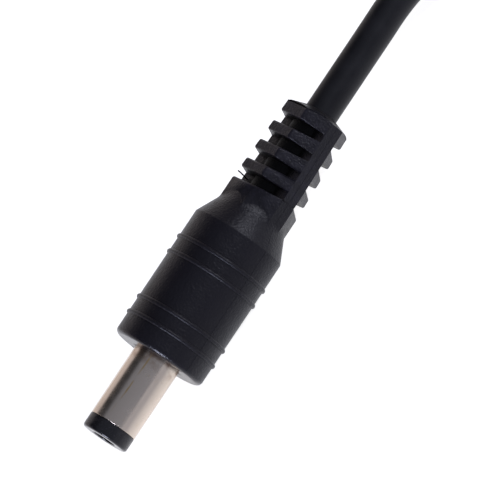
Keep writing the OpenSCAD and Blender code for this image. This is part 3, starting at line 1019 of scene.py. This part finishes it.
stitch_row = stitch_rule()
thread = thread_finish()
for y in STITCH_ROWS:
    level = HANK_MID_Z + HANK_HALF_Z + STRAP_T + END_T
    line = [metres(STRAP_X + x, y, level) for x in (STITCH_MARGIN, STRAP_WIDTH - STITCH_MARGIN)]
    carry_out(stitch_row, line, "strap_stitches", {
        "Pitch": STITCH_PITCH * MM, "Length": STITCH_LENGTH * MM, "Thickness": THREAD_T * MM,
        "Finish": thread,
    })

# %% [markdown]
# ## The stripped end
# At its free end the jacket is cut back and shows the two cores, whose own insulation is stripped from the
# last six millimetres. The copper strands there are twisted and dipped in solder, which fills the valleys
# between them and leaves a dull silver skin. A single rod would look like a pin. The strands are a helix
# that the rule repeats round a straight middle strand, close enough together to touch.

# %% Finishes of plastics and bare metals


def coloured_plastic(name, dark, light, roughness):
    """A smooth plastic whose tone and gloss wander a little, as in any extruded or moulded piece."""
    finish, tree, shader = new_finish(name, dark, roughness)
    cloud = add(tree, NOISE, {"Vector": millimetres(tree), "Scale": 0.8, "Detail": 4.0})
    skin = add(tree, NOISE, {"Vector": millimetres(tree), "Scale": 8.0, "Detail": 3.0})
    share = add(tree, RANGE, (cloud, 0.35, 0.7))
    dress(tree, shader, (skin, 0.4, 0.00002), share, colour(dark), colour(light))
    gloss = add(tree, RANGE, (cloud, 0.3, 0.7, roughness - 0.06, roughness + 0.08))
    plug(tree, shader, {"Roughness": gloss})
    return finish


def bare_metal(name, dark, light, roughness, stretch=(1, 1, 1)):
    """A bare metal with the fine marks of how it was drawn, stamped or wetted, stretched along them."""
    finish, tree, shader = new_finish(name, light, roughness, Metallic=1.0)
    marks = add(tree, NOISE, {"Vector": millimetres(tree, stretch), "Scale": 6.0, "Detail": 4.0})
    share = add(tree, RANGE, (marks, 0.35, 0.65))
    dress(tree, shader, (marks, 0.5, 0.00002), share, colour(dark), colour(light))
    gloss = add(tree, RANGE, (marks, 0.3, 0.7, roughness - 0.08, roughness + 0.1))
    plug(tree, shader, {"Roughness": gloss})
    return finish


red_pvc = coloured_plastic("red_core_insulation", "#a51513", "#b82320", 0.34)
black_pvc = coloured_plastic("black_core_insulation", "#151517", "#1d1d20", 0.34)
tinned_copper = bare_metal("solder_dipped_strands", "#9a9b9c", "#c9cacc", 0.3, (0.3, 1, 1))
print("finishes:", red_pvc.name, black_pvc.name, tinned_copper.name)

# %% [markdown]
# Each core is a short tube, and each bundle is six helices round a straight strand.

# %% Cores and twisted strands
CORE_R = 0.7
CORE_Y = 0.75
BARE_CORE = 14.0
BARE_STRANDS = 6.0
WIRE_R = 0.135
LAY_R = 0.262
END_Y = HANK_Y + INNER_FOLD
END_Z = LAYERS[2]


def strand_rule():
    rule, given = new_rule("twisted strands", {
        "Strands": "Int", "Wire radius": "Float", "Lay radius": "Float", "Length": "Float",
        "Turns": "Float", "Start": "Vector", "Finish": "Material",
    })
    helix = add(rule, "GeometryNodeCurveSpiral", {
        "Resolution": 28, "Rotations": given["Turns"], "Start Radius": given["Lay radius"],
        "End Radius": given["Lay radius"], "Height": given["Length"],
    })
    index = add(rule, "GeometryNodeInputIndex")
    share = add(rule, MATH, (index, given["Strands"]), operation="DIVIDE")
    angle = add(rule, COMBINE, {"Z": add(rule, MATH, (share, 2 * math.pi), operation="MULTIPLY")})
    lay = add(rule, "GeometryNodeInstanceOnPoints", {
        "Points": add(rule, "GeometryNodePoints", {"Count": given["Strands"]}), "Instance": helix,
        "Rotation": add(rule, "FunctionNodeEulerToRotation", {"Euler": angle}),
    })
    reach = add(rule, COMBINE, {"Z": given["Length"]})
    middle = add(rule, "GeometryNodeCurvePrimitiveLine", {"End": reach})
    all_lines = add(rule, "GeometryNodeJoinGeometry", {"Geometry": lay})
    plug(rule, all_lines.node, {"Geometry": middle})
    wires = add(rule, "GeometryNodeCurveToMesh", {
        "Curve": add(rule, "GeometryNodeRealizeInstances", {"Geometry": all_lines}),
        "Profile Curve": add(rule, "GeometryNodeCurvePrimitiveCircle", {
            "Resolution": 10, "Radius": given["Wire radius"],
        }),
        "Fill Caps": True,
    })
    turned_over = add(rule, "GeometryNodeTransform", {
        "Geometry": wires, "Translation": given["Start"], "Rotation": (0, -math.pi / 2, 0),
    })
    return end_rule(rule, turned_over, given["Finish"])


twisted_strands = strand_rule()
bare_ends = []
for title, side, insulation in (("red", 1, red_pvc), ("black", -1, black_pvc)):
    y = END_Y + side * CORE_Y
    core_line = [metres(x, y, END_Z) for x in np.linspace(LEAD_END_X + 0.2, LEAD_END_X - BARE_CORE, 24)]
    core = carry_out(swept_tube, core_line, title + "_core_tip", {
        "Radius": CORE_R * MM, "Sides": 28, "Finish": insulation,
    })
    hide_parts(title + "_core_end")
    start = metres(LEAD_END_X - BARE_CORE + 0.5, y, END_Z)
    bundle = carry_out(twisted_strands, [start, start], title + "_strand_tip", {
        "Strands": 6, "Wire radius": WIRE_R * MM, "Lay radius": LAY_R * MM,
        "Length": (BARE_STRANDS + 0.5) * MM, "Turns": 1.6, "Start": start, "Finish": tinned_copper,
    })
    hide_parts(title + "_strand_end")
    bare_ends += [core, bundle]

# %% [markdown]
# ## What the moulding hides
# The washer, the solder tag, the cores, their strands and joints and the gripped end of the jacket keep the
# CAD solids, whose shapes are right. Each gets the finish of its own material on its slots, so that someone
# who opens or cuts the part finds copper, solder, laminated paper and plastic where they belong.

# %% Finishes of the hidden pieces
copper = bare_metal("bare_copper_strands", "#8f4a2c", "#c77a4e", 0.32, (0.2, 1, 1))
solder_skin = bare_metal("soft_solder", "#8f9092", "#c2c4c6", 0.26)
hidden_finishes = {
    "rear_washer": coloured_plastic("laminated_paper", "#6d3a1c", "#87502b", 0.6),
    "solder_tag": bare_metal("tinned_sheet_brass", "#a9a295", "#cfcabd", 0.3, (1, 0.3, 1)),
    "red_core": red_pvc,
    "black_core": black_pvc,
    "red_strands": copper,
    "black_strands": copper,
    "red_solder": solder_skin,
    "black_solder": solder_skin,
    "cable_jacket": jacket_pvc,
}
for node, finish in hidden_finishes.items():
    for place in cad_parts[node].material_slots:
        place.material = finish
print("hidden pieces with a finish:", len(hidden_finishes))

# %% [markdown]

# %% [markdown]
# ## The floor and the light
# The object lies on a plain white table. Lamps alone would have to be very bright to make that table white
# in the picture, and would then wash out the black plastic. So the table glows an even white to the eye,
# and glows in reflections too, while it takes light and shadow like any matt surface for everything else.
# The glow in reflections is painted light: it is bright behind the plug and dim in front of it, as on a
# table that is lit from behind. Black satin plastic shows hardly any colour of its own: nearly all its form
# comes from what it mirrors, and so does the barrel's. The surroundings are therefore drawn in bands, from
# the horizon on the viewer's side over the zenith to the horizon behind: middle grey first, then dark, then
# light. The dark band draws the dark stripe along the barrel, and the light one the pale edges. A lamp low
# beyond the tip gives the rims and ribs their bright lines, and one beyond the lead puts the spot on the
# shoulder's fillet.

# %% Table and world
TABLE_GLOW = 0.85
TABLE_BEHIND = 0.64
TABLE_FRONT = 0.1
FRONT_ENDS_Y = -15.0
BEHIND_STARTS_Y = -2.0
SKY_BANDS = [
    (0.0, 0.36, "#e4eaff"), (0.5, 0.27, "#e4eaff"), (0.57, 0.05, "#e8ecff"), (0.74, 0.05, "#f2f0fa"),
    (0.8, 0.72, "#f6edf2"), (1.0, 0.8, "#faeeea"),
]


def table_finish():
    finish, tree, shader = new_finish("matt_white_table", "#f4f4f6", 0.9)
    ray = add(tree, "ShaderNodeLightPath").node.outputs
    seen = add(tree, MATH, (ray["Is Camera Ray"], TABLE_GLOW), operation="MULTIPLY")
    y = add(tree, SPLIT, (millimetres(tree),), "Y")
    # what the table shows in reflections is painted light: a glow graded from dim in front of the plug to
    # bright behind it
    painted_glow_in_reflections = add(tree, RANGE, (y, FRONT_ENDS_Y, BEHIND_STARTS_Y, TABLE_FRONT, TABLE_BEHIND))
    plug(tree, shader, {
        "Emission Color": (1, 1, 1, 1),
        "Emission Strength": add(tree, MATH, (ray["Is Glossy Ray"], painted_glow_in_reflections, seen), operation="MULTIPLY_ADD"),
    })
    return finish


table_mesh = bpy.data.meshes.new("table")
half, level = 1.5, FLOOR * MM
corners = [(-half, -half, level), (half, -half, level), (half, half, level), (-half, half, level)]
table_mesh.from_pydata(corners, [], [(0, 1, 2, 3)])
table = bpy.data.objects.new("table", table_mesh)
table.data.materials.append(table_finish())
bpy.context.scene.collection.objects.link(table)

world = bpy.data.worlds.new("studio")
world.use_nodes = True
bpy.context.scene.world = world
sky = world.node_tree
direction = add(sky, SPLIT, (add(sky, "ShaderNodeTexCoord", output="Generated"),)).node.outputs
towards_viewer = add(sky, MATH, (direction["Y"], -1.0), operation="MULTIPLY")
over_zenith = add(sky, MATH, (direction["Z"], towards_viewer), operation="ARCTAN2")
bands = add(sky, "ShaderNodeValToRGB", (add(sky, MATH, (over_zenith, math.pi), operation="DIVIDE"),))
stops = bands.node.color_ramp.elements
while len(stops) < len(SKY_BANDS):
    stops.new(0.5)
for stop, (share, strength, tint) in zip(stops, SKY_BANDS):
    stop.position = share
    stop.color = [strength * part for part in colour(tint)]
plug(sky, sky.nodes["Background"], {"Color": bands})
bpy.context.scene.view_settings.view_transform = "Standard"


def soft_lamp(name, place, aim_at, size, power, tint):
    lamp = bpy.data.lights.new(name, "AREA")
    lamp.shape = "RECTANGLE"
    lamp.size, lamp.size_y = size
    lamp.energy = power
    lamp.color = colour(tint)[:3]
    stand = bpy.data.objects.new(name, lamp)
    stand.location = place
    stand.rotation_euler = (Vector(aim_at) - Vector(place)).to_track_quat("-Z", "Y").to_euler()
    bpy.context.scene.collection.objects.link(stand)


soft_lamp("lamp_tip_side", (-0.4, -0.05, 0.05), (0.01, 0, 0), (0.14, 0.12), 1.1, "#dfe4ff")
soft_lamp("lamp_lead_side", (0.32, -0.24, 0.19), (0.018, 0, 0), (0.045, 0.045), 0.6, "#f0f1ff")
print("table at %.2f mm, 2 lamps" % FLOOR)
